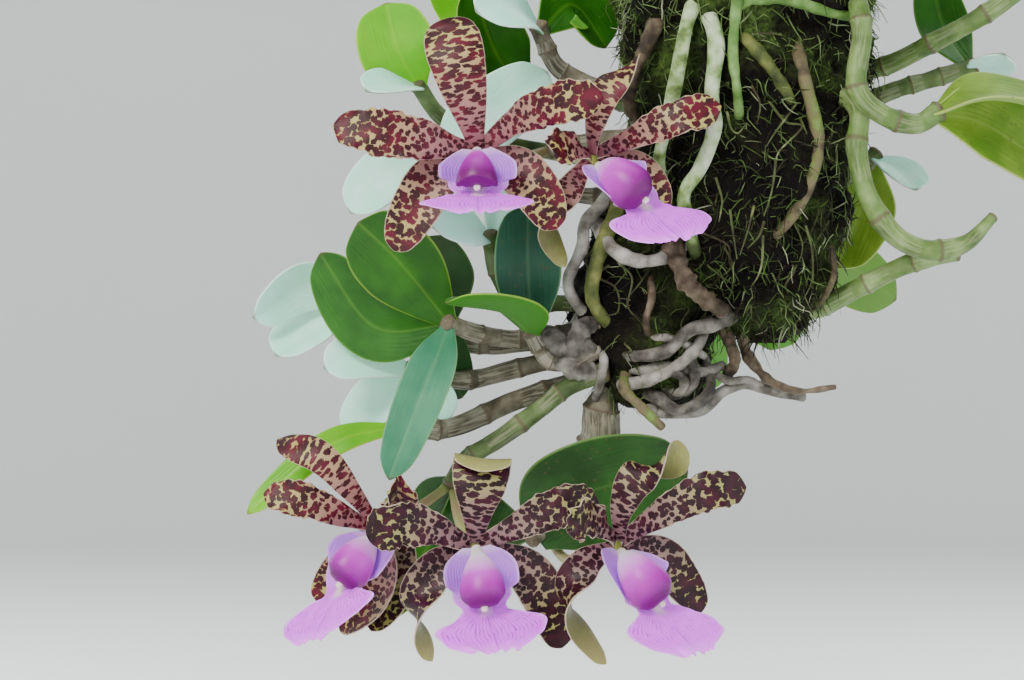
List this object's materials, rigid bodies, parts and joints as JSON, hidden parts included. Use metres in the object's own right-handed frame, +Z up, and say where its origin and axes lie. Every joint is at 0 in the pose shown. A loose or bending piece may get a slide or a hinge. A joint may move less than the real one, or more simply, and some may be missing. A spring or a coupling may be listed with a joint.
{
  "type": "hanging orchid basket",
  "caption": "Spotted orchid with leafy canes and clinging roots, grown through a slatted wooden basket on a wire hanger.",
  "frame": {"origin": "the point inside the top of the hook's crook where a rail or nail carries it", "axes": "+Z up along the hanger, +X to the right and -Y to the front, which is the side with the flowers"},
  "size_m": [0.3001, 0.2147, 0.4694],
  "materials": {
    "moss": "rough moss and fibre",
    "cane": "satin",
    "leaf": "waxy satin",
    "petal": "waxy satin",
    "lip": "soft matte",
    "wood": "weathered",
    "wire": "galvanised"
  },
  "bodies": {
    "root": {"moss_and_roots": "moss", "slat_front_1": "wood", "slat_back_1": "wood", "slat_left_2": "wood", "slat_right_2": "wood", "slat_floor_left": "wood", "slat_floor_right": "wood", "slat_front_3": "wood", "slat_back_3": "wood", "slat_left_4": "wood", "slat_right_4": "wood", "slat_front_5": "wood", "slat_back_5": "wood", "slat_left_6": "wood", "slat_right_6": "wood", "hanger_wire_front_left": "wire", "hanger_wire_front_right": "wire", "hanger_wire_back_left": "wire", "hanger_wire_back_right": "wire", "hanger_hook": "wire", "leafy_cane_far_top_left": "leaf", "leafy_cane_top_left": "leaf", "leafy_cane_top": "leaf", "flowering_cane_top": "cane", "leafy_cane_behind_flower": "leaf", "leafy_cane_under_flower": "leaf", "leafy_cane_centre_left": "leaf", "leafy_cane_far_left": "leaf", "leafy_cane_middle_left": "leaf", "leafy_cane_centre": "leaf", "leafy_cane_low_left": "leaf", "flowering_cane_low": "leaf", "flowering_cane_large_leaf": "leaf", "leafy_cane_right": "leaf", "old_cane_right": "cane", "leafy_cane_top_right": "leaf", "leafy_cane_upper_right": "leaf", "leafy_cane_behind_right": "leaf", "old_cane_low_right": "cane", "leafy_cane_back_top": "leaf", "leafy_cane_back_right": "leaf", "leafy_cane_back_left": "leaf", "flower_upper_left_petals": "petal", "flower_upper_left_lip": "lip", "flower_upper_right_petals": "petal", "flower_upper_right_lip": "lip", "flower_lower_left_petals": "petal", "flower_lower_left_lip": "lip", "flower_lower_middle_petals": "petal", "flower_lower_middle_lip": "lip", "flower_lower_right_petals": "petal", "flower_lower_right_lip": "lip"}
  },
  "joints": []
}
